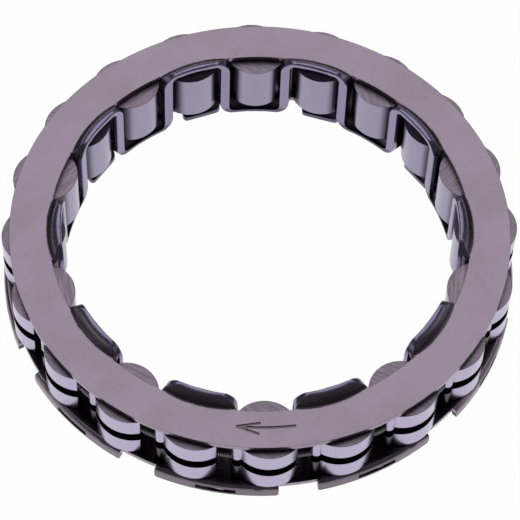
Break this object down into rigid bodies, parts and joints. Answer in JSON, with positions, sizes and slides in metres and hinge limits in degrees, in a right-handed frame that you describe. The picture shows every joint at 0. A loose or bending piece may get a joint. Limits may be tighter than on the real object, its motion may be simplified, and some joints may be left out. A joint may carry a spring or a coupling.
{
  "type": "starter clutch",
  "caption": "One-way sprag clutch for a motorcycle starter: sprags held in a pressed sheet-metal cage by a garter spring.",
  "frame": {"origin": "on the clutch's axis, at the height of the lower edge of its castellated rim", "axes": "+Z is the clutch's axis, from the castellated rim towards the plain upper ring; -Y points to the sprag at the arrow"},
  "size_m": [0.0694, 0.0694, 0.0121],
  "materials": {
    "cage_steel": "satin, as pressed",
    "spring_steel": "drawn wire, oiled",
    "sprag_steel": "ground ends, polished cams"
  },
  "bodies": {
    "cage_body": {"cage": "cage_steel", "garter_spring": "spring_steel"},
    "sprag_01_body": {"sprag_01": "sprag_steel"},
    "sprag_02_body": {"sprag_02": "sprag_steel"},
    "sprag_03_body": {"sprag_03": "sprag_steel"},
    "sprag_04_body": {"sprag_04": "sprag_steel"},
    "sprag_05_body": {"sprag_05": "sprag_steel"},
    "sprag_06_body": {"sprag_06": "sprag_steel"},
    "sprag_07_body": {"sprag_07": "sprag_steel"},
    "sprag_08_body": {"sprag_08": "sprag_steel"},
    "sprag_09_body": {"sprag_09": "sprag_steel"},
    "sprag_10_body": {"sprag_10": "sprag_steel"},
    "sprag_11_body": {"sprag_11": "sprag_steel"},
    "sprag_12_body": {"sprag_12": "sprag_steel"},
    "sprag_13_body": {"sprag_13": "sprag_steel"},
    "sprag_14_body": {"sprag_14": "sprag_steel"},
    "sprag_15_body": {"sprag_15": "sprag_steel"},
    "sprag_16_body": {"sprag_16": "sprag_steel"},
    "sprag_17_body": {"sprag_17": "sprag_steel"},
    "sprag_18_body": {"sprag_18": "sprag_steel"},
    "sprag_19_body": {"sprag_19": "sprag_steel"},
    "sprag_20_body": {"sprag_20": "sprag_steel"}
  },
  "joints": [
    {"name": "sprag_01_rock", "type": "hinge", "parent": "cage_body", "child": "sprag_01_body", "pos_m": [0, -0.0302, 0.00605], "axis": [0, 0, 1], "range_deg": [-3, 3], "stiffness_Nm_per_rad": 0.002},
    {"name": "sprag_02_rock", "type": "hinge", "parent": "cage_body", "child": "sprag_02_body", "pos_m": [0.00933, -0.02872, 0.00605], "axis": [0, 0, 1], "range_deg": [-3, 3], "stiffness_Nm_per_rad": 0.002},
    {"name": "sprag_03_rock", "type": "hinge", "parent": "cage_body", "child": "sprag_03_body", "pos_m": [0.01775, -0.02443, 0.00605], "axis": [0, 0, 1], "range_deg": [-3, 3], "stiffness_Nm_per_rad": 0.002},
    {"name": "sprag_04_rock", "type": "hinge", "parent": "cage_body", "child": "sprag_04_body", "pos_m": [0.02443, -0.01775, 0.00605], "axis": [0, 0, 1], "range_deg": [-3, 3], "stiffness_Nm_per_rad": 0.002},
    {"name": "sprag_05_rock", "type": "hinge", "parent": "cage_body", "child": "sprag_05_body", "pos_m": [0.02872, -0.00933, 0.00605], "axis": [0, 0, 1], "range_deg": [-3, 3], "stiffness_Nm_per_rad": 0.002},
    {"name": "sprag_06_rock", "type": "hinge", "parent": "cage_body", "child": "sprag_06_body", "pos_m": [0.0302, 0, 0.00605], "axis": [0, 0, 1], "range_deg": [-3, 3], "stiffness_Nm_per_rad": 0.002},
    {"name": "sprag_07_rock", "type": "hinge", "parent": "cage_body", "child": "sprag_07_body", "pos_m": [0.02872, 0.00933, 0.00605], "axis": [0, 0, 1], "range_deg": [-3, 3], "stiffness_Nm_per_rad": 0.002},
    {"name": "sprag_08_rock", "type": "hinge", "parent": "cage_body", "child": "sprag_08_body", "pos_m": [0.02443, 0.01775, 0.00605], "axis": [0, 0, 1], "range_deg": [-3, 3], "stiffness_Nm_per_rad": 0.002},
    {"name": "sprag_09_rock", "type": "hinge", "parent": "cage_body", "child": "sprag_09_body", "pos_m": [0.01775, 0.02443, 0.00605], "axis": [0, 0, 1], "range_deg": [-3, 3], "stiffness_Nm_per_rad": 0.002},
    {"name": "sprag_10_rock", "type": "hinge", "parent": "cage_body", "child": "sprag_10_body", "pos_m": [0.00933, 0.02872, 0.00605], "axis": [0, 0, 1], "range_deg": [-3, 3], "stiffness_Nm_per_rad": 0.002},
    {"name": "sprag_11_rock", "type": "hinge", "parent": "cage_body", "child": "sprag_11_body", "pos_m": [0, 0.0302, 0.00605], "axis": [0, 0, 1], "range_deg": [-3, 3], "stiffness_Nm_per_rad": 0.002},
    {"name": "sprag_12_rock", "type": "hinge", "parent": "cage_body", "child": "sprag_12_body", "pos_m": [-0.00933, 0.02872, 0.00605], "axis": [0, 0, 1], "range_deg": [-3, 3], "stiffness_Nm_per_rad": 0.002},
    {"name": "sprag_13_rock", "type": "hinge", "parent": "cage_body", "child": "sprag_13_body", "pos_m": [-0.01775, 0.02443, 0.00605], "axis": [0, 0, 1], "range_deg": [-3, 3], "stiffness_Nm_per_rad": 0.002},
    {"name": "sprag_14_rock", "type": "hinge", "parent": "cage_body", "child": "sprag_14_body", "pos_m": [-0.02443, 0.01775, 0.00605], "axis": [0, 0, 1], "range_deg": [-3, 3], "stiffness_Nm_per_rad": 0.002},
    {"name": "sprag_15_rock", "type": "hinge", "parent": "cage_body", "child": "sprag_15_body", "pos_m": [-0.02872, 0.00933, 0.00605], "axis": [0, 0, 1], "range_deg": [-3, 3], "stiffness_Nm_per_rad": 0.002},
    {"name": "sprag_16_rock", "type": "hinge", "parent": "cage_body", "child": "sprag_16_body", "pos_m": [-0.0302, 0, 0.00605], "axis": [0, 0, 1], "range_deg": [-3, 3], "stiffness_Nm_per_rad": 0.002},
    {"name": "sprag_17_rock", "type": "hinge", "parent": "cage_body", "child": "sprag_17_body", "pos_m": [-0.02872, -0.00933, 0.00605], "axis": [0, 0, 1], "range_deg": [-3, 3], "stiffness_Nm_per_rad": 0.002},
    {"name": "sprag_18_rock", "type": "hinge", "parent": "cage_body", "child": "sprag_18_body", "pos_m": [-0.02443, -0.01775, 0.00605], "axis": [0, 0, 1], "range_deg": [-3, 3], "stiffness_Nm_per_rad": 0.002},
    {"name": "sprag_19_rock", "type": "hinge", "parent": "cage_body", "child": "sprag_19_body", "pos_m": [-0.01775, -0.02443, 0.00605], "axis": [0, 0, 1], "range_deg": [-3, 3], "stiffness_Nm_per_rad": 0.002},
    {"name": "sprag_20_rock", "type": "hinge", "parent": "cage_body", "child": "sprag_20_body", "pos_m": [-0.00933, -0.02872, 0.00605], "axis": [0, 0, 1], "range_deg": [-3, 3], "stiffness_Nm_per_rad": 0.002}
  ],
  "couplings": [
    {"joint": "sprag_02_rock", "follows": "sprag_01_rock", "ratio": 1},
    {"joint": "sprag_03_rock", "follows": "sprag_01_rock", "ratio": 1},
    {"joint": "sprag_04_rock", "follows": "sprag_01_rock", "ratio": 1},
    {"joint": "sprag_05_rock", "follows": "sprag_01_rock", "ratio": 1},
    {"joint": "sprag_06_rock", "follows": "sprag_01_rock", "ratio": 1},
    {"joint": "sprag_07_rock", "follows": "sprag_01_rock", "ratio": 1},
    {"joint": "sprag_08_rock", "follows": "sprag_01_rock", "ratio": 1},
    {"joint": "sprag_09_rock", "follows": "sprag_01_rock", "ratio": 1},
    {"joint": "sprag_10_rock", "follows": "sprag_01_rock", "ratio": 1},
    {"joint": "sprag_11_rock", "follows": "sprag_01_rock", "ratio": 1},
    {"joint": "sprag_12_rock", "follows": "sprag_01_rock", "ratio": 1},
    {"joint": "sprag_13_rock", "follows": "sprag_01_rock", "ratio": 1},
    {"joint": "sprag_14_rock", "follows": "sprag_01_rock", "ratio": 1},
    {"joint": "sprag_15_rock", "follows": "sprag_01_rock", "ratio": 1},
    {"joint": "sprag_16_rock", "follows": "sprag_01_rock", "ratio": 1},
    {"joint": "sprag_17_rock", "follows": "sprag_01_rock", "ratio": 1},
    {"joint": "sprag_18_rock", "follows": "sprag_01_rock", "ratio": 1},
    {"joint": "sprag_19_rock", "follows": "sprag_01_rock", "ratio": 1},
    {"joint": "sprag_20_rock", "follows": "sprag_01_rock", "ratio": 1}
  ]
}
